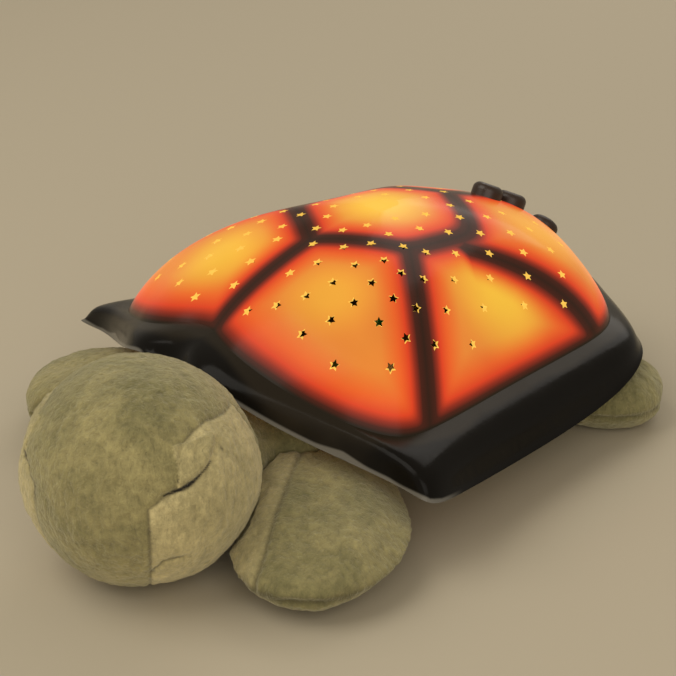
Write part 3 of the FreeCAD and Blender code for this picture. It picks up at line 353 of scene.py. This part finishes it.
def distance_to_band(start, end):
    """Distance in plan from the ray that leaves start towards end, on the left half."""
    run = (Vector(end) - Vector(start)).normalized()
    right = calc(cell_group, "SUBTRACT", side, start[0])
    ahead = calc(cell_group, "SUBTRACT", along, start[1])
    across = calc(
        cell_group, "ADD", calc(cell_group, "MULTIPLY", right, run.y),
        calc(cell_group, "MULTIPLY", ahead, -run.x),
    )
    onward = calc(
        cell_group, "ADD", calc(cell_group, "MULTIPLY", right, run.x),
        calc(cell_group, "MULTIPLY", ahead, run.y),
    )
    before = calc(cell_group, "MAXIMUM", calc(cell_group, "MULTIPLY", onward, -1.0), 0.0)
    return calc(cell_group, "ADD", calc(cell_group, "ABSOLUTE", across), before)


slanting_bands = calc(
    cell_group, "SMOOTH_MIN", distance_to_band(*FRONT_BAND), distance_to_band(*REAR_BAND), 0.002
)
band = calc(cell_group, "SMOOTH_MIN", slanting_bands, side, 0.002)
above_foot = calc(cell_group, "SUBTRACT", place.outputs["Z"], height_of(FOOT_OUTLINE, "AUTO"))
hem = calc(cell_group, "MULTIPLY", calc(cell_group, "ADD", above_foot, 0.001), 0.9)
off_crown = calc(cell_group, "SMOOTH_MIN", band, crown, 0.004)
in_side_cell = calc(cell_group, "SMOOTH_MIN", off_crown, hem, 0.004)
in_crown_cell = calc(cell_group, "MULTIPLY", crown, -1.0)
edge = calc(cell_group, "MAXIMUM", in_side_cell, in_crown_cell)

# The normal points away from the middle on the outside, at it on the inside, and across the
# way to it on the walls of the star holes
from_middle = put(cell_group, "VectorMath", {"operation": "SUBTRACT"})
fill(cell_group, from_middle.inputs[0], where)
from_middle.inputs[1].default_value = DOME_MIDDLE
outward = put(cell_group, "VectorMath", {"operation": "NORMALIZE"}, Vector=from_middle.outputs[0])
facing = put(cell_group, "VectorMath", {"operation": "DOT_PRODUCT"})
fill(cell_group, facing.inputs[0], outward.outputs[0])
fill(cell_group, facing.inputs[1], geometry.outputs["Normal"])
inside = calc(cell_group, "LESS_THAN", facing.outputs["Value"], 0.0)
wall = step_between(cell_group, calc(cell_group, "ABSOLUTE", facing.outputs["Value"]), 0.5, 0.4)

# Brightest where the lamps stand closest to the dome
hot = None
for spot, reach, strength in HOT_SPOTS:
    away = put(cell_group, "VectorMath", {"operation": "DISTANCE"})
    fill(cell_group, away.inputs[0], where)
    away.inputs[1].default_value = spot
    near = step_between(cell_group, away.outputs["Value"], 1.5 * reach, 0.15 * reach)
    near = calc(cell_group, "MULTIPLY", near, strength)
    hot = near if hot is None else calc(cell_group, "MAXIMUM", hot, near)
on_dome = calc(
    cell_group, "MULTIPLY", step_between(cell_group, share, 1.03, 1.01),
    step_between(cell_group, above_foot, 0.0, 0.002),
)
for name, value in (
    ("Dome", on_dome), ("Inside", inside), ("Wall", wall), ("Edge", edge), ("Share", share),
    ("Hot", hot), ("Lip", lip),
):
    fill(cell_group, cell_out.inputs[name], value)
print("group:", cell_group.name)

# %% Finish of the shell
BLACK = (0, 0, 0, 1)
DARK = (0.006, 0.005, 0.004, 1)
LIT_SKIN = (0.1, 0.026, 0.004, 1)
LIP = (0.14, 0.13, 0.11, 1)
YELLOW_GLOW = (0.9, 0.55, 0.05, 1)
SPILLED_GLOW = (0.013, 0.009, 0.0045, 1)
INNER_GLOW = (0.2, 0.08, 0.012, 1)
WALL_GLOW = (0.95, 0.56, 0.09, 1)
FULL_GLOW = 0.03  # from this distance to a band on, the colour no longer changes

shell_finish, tree, shader = new_material(
    "shell plastic", Specular_IOR_Level=0.1, Emission_Strength=1.0
)
cells = use_group(tree, cell_group)
depth = step_between(tree, cells.outputs["Edge"], 0.004, 0.012)
light = ramp(tree, calc(tree, "DIVIDE", cells.outputs["Edge"], FULL_GLOW), [
    (0.0, (0.03, 0.01, 0.005)), (0.1, (0.06, 0.012, 0.006)), (0.17, (0.28, 0.024, 0.01)),
    (0.25, (0.7, 0.05, 0.014)), (0.38, (0.76, 0.11, 0.02)), (0.62, (0.74, 0.225, 0.035)),
    (1.0, (0.77, 0.26, 0.038)),
])
clear_of_bands = step_between(tree, cells.outputs["Edge"], 0.006, 0.018)
yellow = calc(tree, "MULTIPLY", cells.outputs["Hot"], clear_of_bands)
light = blend_colours(tree, yellow, light, YELLOW_GLOW)
warm = put(tree, "TexNoise", Scale=22.0, Detail=3.0)
fill(tree, warm.inputs["Vector"], put(tree, "TexCoord").outputs["Object"])
patchy = calc(tree, "MULTIPLY_ADD", warm.outputs["Fac"], 0.24, 0.86)
light = put(tree, "VectorMath", {"operation": "SCALE"}, Vector=light, Scale=patchy).outputs[0]

# Light that spills a little way down the skirt, with a wavy lower edge
wave = calc(tree, "MULTIPLY_ADD", warm.outputs["Fac"], 0.12, cells.outputs["Share"])
spill = blend_colours(tree, step_between(tree, wave, 1.15, 1.1), BLACK, SPILLED_GLOW)
glow = blend_colours(tree, cells.outputs["Dome"], spill, light)
inner_face = calc(tree, "MULTIPLY", cells.outputs["Inside"], cells.outputs["Dome"])
glow = blend_colours(tree, inner_face, glow, INNER_GLOW)
bright_wall = calc(tree, "MULTIPLY", cells.outputs["Wall"], cells.outputs["Dome"])
glow = blend_colours(tree, bright_wall, glow, WALL_GLOW)

skin = blend_colours(tree, depth, DARK, LIT_SKIN)
skin = blend_colours(tree, cells.outputs["Dome"], DARK, skin)
# A pale line painted along the front part of the brim's lower edge
skin = blend_colours(tree, cells.outputs["Lip"], skin, LIP)
grain = use_group(tree, grain_group, Grain=1200.0, Depth=0.03, Smooth=0.14, Rough=0.26)
fill(tree, shader.inputs["Base Color"], skin)
fill(tree, shader.inputs["Emission Color"], glow)
fill(tree, shader.inputs["Roughness"], grain.outputs["Roughness"])
fill(tree, shader.inputs["Normal"], grain.outputs["Normal"])
finishes["shell_plastic"] = shell_finish
print("shell finish has", len(tree.nodes), "nodes")

# %% [markdown]
# ## Dress the rigid pieces
#
# Each rigid node keeps its CAD mesh and takes the finish that its slot in the record names.

# %% Rigid pieces
slot_of = {row["node"]: row["material_slot"] for row in frame["record"]["subparts"]}


def dress(piece, material):
    if piece.material_slots:
        piece.material_slots[0].material = material
    else:
        piece.data.materials.append(material)


rigid = [name for name in nodes if slot_of[name] != "plush"]
for name in rigid:
    dress(nodes[name], finishes[slot_of[name]])
print("rigid pieces dressed:", len(rigid))

# %% [markdown]
# ## Plush
#
# The cloth is a short pile. Close up it is a field of fine fibres that lean in patches, so the
# colour wanders between a lighter and a darker green and the surface catches light at its
# edges. Streaks, stretched along the height, comb it downwards. Hair strands would be truer,
# but thousands of them are heavy and don't survive an export, so the pile is made of fine
# bumps, colour flecks and sheen.

# %% Group: pile
pile_group, pile_in, pile_out = new_group(
    "pile", [("Light", "Color"), ("Dark", "Color")], [("Color", "Color"), ("Normal", "Vector")]
)
where = put(pile_group, "TexCoord").outputs["Object"]
patches = put(
    pile_group, "TexNoise", Vector=where, Scale=30.0, Detail=4.0, Roughness=0.6, Distortion=0.6
)
tufts = put(pile_group, "TexNoise", Vector=where, Scale=260.0, Detail=3.0, Roughness=0.7)
fibres = put(pile_group, "TexNoise", Vector=where, Scale=1500.0, Detail=2.0, Roughness=0.8)
combed = put(pile_group, "VectorMath", {"operation": "MULTIPLY"})
fill(pile_group, combed.inputs[0], where)
combed.inputs[1].default_value = (1.0, 1.0, 0.32)
streaks = put(
    pile_group, "TexNoise", Vector=combed.outputs[0], Scale=430.0, Detail=4.0, Roughness=0.7,
    Distortion=0.5,
)
lean = step_between(pile_group, patches.outputs["Fac"], 0.34, 0.68)
colour = blend_colours(pile_group, lean, pile_in.outputs["Dark"], pile_in.outputs["Light"])


def weighed(*terms):
    """The sum of (noise, weight) terms."""
    total = None
    for texture, weight in terms:
        term = calc(pile_group, "MULTIPLY", texture.outputs["Fac"], weight)
        total = term if total is None else calc(pile_group, "ADD", total, term)
    return total


fleck = put(pile_group, "MapRange", Value=weighed((tufts, 0.45), (streaks, 0.4), (fibres, 0.15)))
fleck.inputs["From Min"].default_value = 0.33
fleck.inputs["From Max"].default_value = 0.67
fleck.inputs["To Min"].default_value = 0.62
fleck.inputs["To Max"].default_value = 1.38
shaded = put(pile_group, "VectorMath", {"operation": "SCALE"}, Vector=colour)
fill(pile_group, shaded.inputs["Scale"], fleck.outputs["Result"])
bump = put(
    pile_group, "Bump", Strength=1.0, Distance=0.0022,
    Height=weighed((tufts, 0.5), (streaks, 0.4), (fibres, 0.2)),
)
fill(pile_group, pile_out.inputs["Color"], shaded.outputs[0])
fill(pile_group, pile_out.inputs["Normal"], bump.outputs["Normal"])
print("group:", pile_group.name)

# %% Plush finish
GREEN_LIGHT = (0.34, 0.29, 0.125, 1)
GREEN_DARK = (0.2, 0.18, 0.075, 1)
PALE_LIGHT = (0.62, 0.52, 0.26, 1)
PALE_DARK = (0.45, 0.38, 0.185, 1)
STITCHES = (0.05, 0.042, 0.018, 1)
LASH = (0.012, 0.009, 0.006, 1)

plush_finish, tree, shader = new_material(
    "plush", Roughness=0.95, Sheen_Weight=0.8, Sheen_Roughness=0.4, Sheen_Tint=(0.75, 0.7, 0.5, 1)
)
panel = put(tree, "Attribute", {"attribute_name": "panel"}).outputs["Fac"]
seam = put(tree, "Attribute", {"attribute_name": "seam"}).outputs["Fac"]
pile = use_group(
    tree, pile_group,
    Light=blend_colours(tree, panel, GREEN_LIGHT, PALE_LIGHT),
    Dark=blend_colours(tree, panel, GREEN_DARK, PALE_DARK),
)
shut = put(tree, "Attribute", {"attribute_name": "lash"}).outputs["Fac"]
stitched = blend_colours(tree, calc(tree, "MULTIPLY", seam, 0.8), pile.outputs["Color"], STITCHES)
fill(tree, shader.inputs["Base Color"], blend_colours(tree, shut, stitched, LASH))
fill(tree, shader.inputs["Normal"], pile.outputs["Normal"])
print("plush finish ready")

# %% [markdown]
# ## Stuffed pieces from their solids
#
# Each stuffed piece starts as a copy of its CAD solid. A voxel remesh turns the copy into even
# small quads, a smooth takes off the solid's hard edges, and a subdivision gives enough points
# for seams and lumps. Working from the solid keeps every piece in the place that it holds.

# %% Soft copies
LEAST_HEIGHT = 0.0001  # keeps the cloth above the floor


def bake(piece):
    """Turns the piece's modifiers into plain mesh."""
    depsgraph = bpy.context.evaluated_depsgraph_get()
    mesh = bpy.data.meshes.new_from_object(piece.evaluated_get(depsgraph))
    piece.modifiers.clear()
    piece.data = mesh


def soft_copy(node, voxel, smoothing):
    """A smooth, even copy of a CAD solid as a new piece."""
    mesh = nodes[node].data.copy()
    shape = bmesh.new()
    shape.from_mesh(mesh)
    bmesh.ops.remove_doubles(shape, verts=shape.verts, dist=1e-6)
    shape.to_mesh(mesh)
    shape.free()
    mesh.materials.clear()
    piece = bpy.data.objects.new(node + "_cloth", mesh)
    scene.collection.objects.link(piece)
    remesh = piece.modifiers.new("even quads", "REMESH")
    remesh.mode = "VOXEL"
    remesh.voxel_size = voxel
    smooth = piece.modifiers.new("soften", "SMOOTH")
    smooth.factor = 0.5
    smooth.iterations = smoothing
    finer = piece.modifiers.new("finer", "SUBSURF")
    finer.levels = 1
    finer.render_levels = 1
    bake(piece)
    for polygon in piece.data.polygons:
        polygon.use_smooth = True
    return piece


def sculpt(piece, move):
    """Moves each point along its normal, and paints it for the plush finish.

    move(point, normal) gives the height in metres and the three paint values: panel is 0 on
    green cloth and 1 on pale cloth, seam is 1 in a seam and lash is 1 on a dark thread."""
    mesh = piece.data
    paints = [mesh.attributes.new(name, "FLOAT", "POINT") for name in ("panel", "seam", "lash")]
    moved = []
    for vertex in mesh.vertices:
        height, *values = move(vertex.co, vertex.normal)
        point = vertex.co + vertex.normal * height
        point.z = max(point.z, LEAST_HEIGHT)
        moved.append(point)
        for paint, value in zip(paints, values):
            paint.data[vertex.index].value = value
    for vertex, point in zip(mesh.vertices, moved):
        vertex.co = point
    mesh.update()


def lumps(point, seed):
    """Uneven stuffing under a pile: broad swells, small ones and fuzz, in metres."""
    shifted = point + Vector((seed, 0, 0))
    broad = 0.0011 * noise.noise(shifted * 38)
    small = 0.0004 * noise.noise(shifted * 160)
    fuzz = 0.0003 * noise.noise(shifted * 520)
    return broad + small + fuzz


print("soft helpers ready")

# %% [markdown]
# ## Head
#
# The head is a ball with its chin on the floor, turned a little to its left. A green gusset
# runs over it from nose to neck, and a paler cheek is sewn in on each side. The closed eye is
# a pale lid with a dark stitched lash, the mouth a short line of stitches on each side, and two
# shallow dimples make the nose. Directions from the middle of the head, as on a globe, are the
# easiest way to say where each thing lies.

# %% Head
HEAD_MIDDLE = Vector((0.033, -0.1615, 0.0435))

# Degrees sideways from the face's middle and up from level
FACE_TURN = 28.0  # of the face itself, from the front towards the turtle's left
FAR_HALF = 0.84  # the half away from the camera is drawn wider: its angles count for less
GUSSET_HALF = 29.5
CHEEK_END = 112.0
NOSE = (10.0, 21.5)
NOSTRIL = 7  # to each side of the nose's middle
BROW = [
    (29.5, 10), (38, 15.5), (44, 18), (46, 26), (49, 33), (54, 38), (62, 41), (74, 43), (95, 40),
    (180, 34),
]
EYE = [(36, 15), (40, 16), (46, 17.2), (53, 19.4), (61, 23.2), (67, 27), (74, 32)]
LASH_ENDS = (37, 65)
LASH_THICKEST = 49
LID_ENDS = (45.5, 73)
LID_TOP = 37
EYE_STITCH = (74, 28)
MOUTH = [(29.5, -30), (31, -25.7), (36, -18.9), (45, -17.5)]


def face_angles(point):
    """Degrees to the side of the face's middle and up from level, seen from the head's middle."""
    out = point - HEAD_MIDDLE
    turn = math.degrees(math.atan2(out.x, -out.y)) - FACE_TURN
    turn = (turn + 180) % 360 - 180
    return turn, math.degrees(math.atan2(out.z, math.hypot(out.x, out.y)))


def along_table(table, value):
    """Straight-line reading of a table of (value, result) rows."""
    for (low, first), (high, second) in zip(table, table[1:]):
        if value <= high:
            share = max(0.0, (value - low) / (high - low))
            return first + (second - first) * share
    return table[-1][1]


def bell(distance, width):
    return math.exp(-(distance / width) ** 2)


def along_path(path, turn, rise):
    """Degrees from a path of (turn, rise) points."""
    here = Vector((turn, rise))
    nearest = 90.0
    for first, last in zip(path, path[1:]):
        start = Vector(first)
        run = Vector(last) - start
        share = min(1.0, max(0.0, (here - start).dot(run) / run.length_squared))
        nearest = min(nearest, (here - start - run * share).length)
    return nearest


def head_move(point, normal):
    turn, rise = face_angles(point)
    side = turn if turn > 0 else -FAR_HALF * turn
    beyond = max(GUSSET_HALF - side, rise - along_table(BROW, side), side - CHEEK_END)
    pale = 0.85 * min(1, max(0, 0.5 - beyond / 1.5))
    line = 0.8 * bell(beyond, 0.8)
    height = lumps(point, 0.0) - 0.0006 * bell(beyond, 1.8)

    # Closed eye: a lash in a fold, a smooth lid above it and one stitch beyond its corner
    from_eye = along_path(EYE, side, rise)
    over_eye = rise - along_table(EYE, side)
    thin = max(0.35, 1.15 - 0.09 * abs(side - LASH_THICKEST))
    lash = 0.0
    if LASH_ENDS[0] < side < LASH_ENDS[1]:
        lash = min(1.0, 1.6 * bell(from_eye, thin))
    height -= 0.0013 * bell(from_eye, 1.7)
    if LID_ENDS[0] < side < LID_ENDS[1] and over_eye > 1 and rise < LID_TOP:
        height += 0.0007 * min(1.0, over_eye / 3)
        pale = 0.55
        line = 0.0
    from_stitch = math.hypot(side - EYE_STITCH[0], (rise - EYE_STITCH[1]) / 2.0)
    lash = max(lash, 0.7 * bell(from_stitch, 0.8))

    # Mouth: a short stitched line on each side
    from_mouth = along_path(MOUTH, side, rise)
    line = max(line, bell(from_mouth, 0.7))
    height -= 0.0009 * bell(from_mouth, 1.6)
    for nostril in (-NOSTRIL, NOSTRIL):
        across = math.hypot(turn - NOSE[0] - nostril, rise - NOSE[1])
        height -= 0.0008 * bell(across, 3.6)
    return height, pale, line, lash


head = soft_copy("plush_head", 0.0014, 12)
sculpt(head, head_move)
print("head points:", len(head.data.vertices))

# %% [markdown]
# ## Body, flippers, feet and tail
#
# Each limb is a pillow of two panels. The seam between them runs low round its edge, with the
# cloth pulled in along it. The front flippers have a second seam on top, beside a paler strip.

# %% The other stuffed pieces
FOOT_SEAM = 0.012
FLIPPER_SEAM = 0.0135
FLIPPER_ROOT = Vector((0.038, -0.072, 0))
FLIPPER_WAY = Vector((0.7071, -0.7071, 0))
FLIPPER_ACROSS = Vector((-0.7071, -0.7071, 0))
STRIP_START = 0.002
STRIP_SLOPE = 0.16

# Places where a flipper's edge is pushed out or pulled in, from its root
OUTER_CORNER = Vector((0.072, -0.078, 0))
REAR_EDGE = Vector((0.060, -0.018, 0))
HEAD_EDGE = Vector((0.028, -0.066, 0))
BODY_SEAM = 0.018


def edge_seam(point, height):
    """0 to 1 near the seam that runs round a limb at this height."""
    return bell(point.z - height, 0.0014)


def limb_move(seed):
    """A two-panel pillow with its seam low on the edge."""
    def move(point, normal):
        line = edge_seam(point, FOOT_SEAM) * (1 - abs(normal.z))
        return lumps(point, seed) - 0.0014 * line, 0.0, 0.9 * line, 0.0
    return move


def flipper_move(seed, side, corner_push, cheek_pull):
    """A front flipper: a pale strip is sewn in next to the head, and its edge is pushed out."""
    def move(point, normal):
        here = Vector((side * point.x, point.y, 0)) - FLIPPER_ROOT
        along = here.dot(FLIPPER_WAY)
        across = here.dot(FLIPPER_ACROSS)
        line = edge_seam(point, FLIPPER_SEAM) * (1 - abs(normal.z))
        strip = across - STRIP_START - STRIP_SLOPE * along
        on_top = 1.0 if point.z > FLIPPER_SEAM else 0.0
        strip_line = bell(strip, 0.0011) * on_top
        pale = 0.6 * min(1, max(0, 0.5 + strip / 0.002)) * on_top
        out = 1 - abs(normal.z)
        corner = corner_push * bell((here - OUTER_CORNER).length, 0.034)
        rear = 0.006 * bell((here - REAR_EDGE).length, 0.03)
        by_head = -cheek_pull * bell((here - HEAD_EDGE).length, 0.025)
        height = lumps(point, seed) + (corner + rear + by_head) * out
        height -= 0.0014 * line + 0.001 * strip_line
        return height, pale, 0.9 * max(line, 0.65 * strip_line), 0.0
    return move


def body_move(point, normal):
    """The body's seam runs low round its sides."""
    line = bell(point.z - BODY_SEAM, 0.0011) * (1 - abs(normal.z))
    return lumps(point, 1.0) - 0.0012 * line, 0.0, 0.8 * line, 0.0


soft = {"plush_head": head}
for node, voxel, move in (
    ("plush_body", 0.0025, body_move),
    ("front_flipper_left", 0.0014, flipper_move(2.0, 1, 0.0085, 0.0035)),
    ("front_flipper_right", 0.0014, flipper_move(3.0, -1, -0.004, 0.0)),
    ("hind_foot_left", 0.0014, limb_move(4.0)),
    ("hind_foot_right", 0.0014, limb_move(5.0)),
    ("plush_tail", 0.0012, limb_move(6.0)),
):
    piece = soft_copy(node, voxel, 10)
    sculpt(piece, move)
    soft[node] = piece
    print(node, len(piece.data.vertices), "points")

for node, piece in soft.items():
    piece.data.materials.append(plush_finish)
    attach(piece, "main")
    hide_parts(node)

# %% [markdown]
# ## Floor and light
#
# A plain pale floor and three large soft lamps, as in a small product studio.

# %% Floor
shape = bmesh.new()
bmesh.ops.create_grid(shape, x_segments=1, y_segments=1, size=6)
floor_mesh = bpy.data.meshes.new("floor")
shape.to_mesh(floor_mesh)
shape.free()
floor = bpy.data.objects.new("floor", floor_mesh)
scene.collection.objects.link(floor)
floor_finish = new_material("floor", Base_Color=(0.5, 0.44, 0.33, 1), Roughness=0.85)[0]
floor_mesh.materials.append(floor_finish)
print("floor 12 m across")


# %% Light
LAMPS_AIM = Vector((0, 0, 0.05))


def soft_lamp(name, place, size, power, colour):
    lamp = bpy.data.lights.new(name, "AREA")
    lamp.size = size
    lamp.energy = power
    lamp.color = colour
    holder = bpy.data.objects.new(name, lamp)
    holder.location = place
    holder.rotation_euler = (LAMPS_AIM - Vector(place)).to_track_quat("-Z", "Y").to_euler()
    scene.collection.objects.link(holder)


soft_lamp("key", (-0.5, -1.0, 1.5), 1.4, 13.0, (1, 0.95, 0.85))
soft_lamp("fill", (1.3, -0.9, 0.8), 1.6, 11.0, (1, 0.95, 0.87))
soft_lamp("back", (-0.6, 1.3, 1.1), 1.2, 6.0, (1, 0.95, 0.88))
world = bpy.data.worlds.new("studio")
world.use_nodes = True
world.node_tree.nodes["Background"].inputs["Color"].default_value = (0.9, 0.82, 0.68, 1)
world.node_tree.nodes["Background"].inputs["Strength"].default_value = 0.42
scene.world = world
scene.view_settings.view_transform = "Standard"
